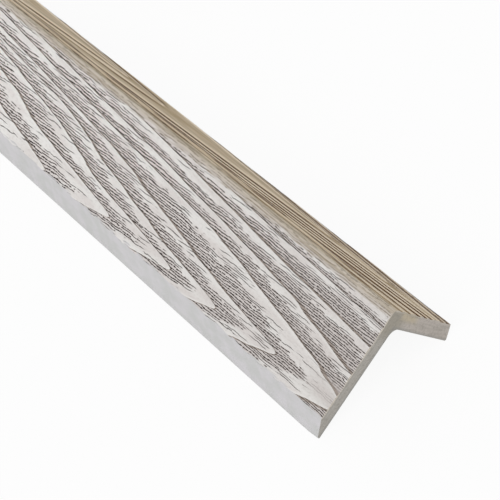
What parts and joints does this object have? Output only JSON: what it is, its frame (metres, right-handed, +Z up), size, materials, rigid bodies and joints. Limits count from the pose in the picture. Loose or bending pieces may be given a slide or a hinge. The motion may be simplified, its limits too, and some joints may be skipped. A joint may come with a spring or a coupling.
{
  "type": "decking corner trim",
  "caption": "L-shaped wood-composite corner trim with bevelled toes and deep-embossed whitewashed wood grain, which covers the cut edges at the corner of a deck.",
  "frame": {"origin": "on the floor under the middle of the trim: the centre of the bottom of its box", "axes": "+X along the trim, +Y across it towards the back leg, +Z up through the ridge"},
  "size_m": [2.2, 0.0716, 0.0435],
  "materials": {
    "embossed_composite": "matt wood-plastic composite, embossed grain, whitewashed ridges over grey-brown"
  },
  "bodies": {
    "root": {"corner_trim": "embossed_composite"}
  },
  "joints": []
}
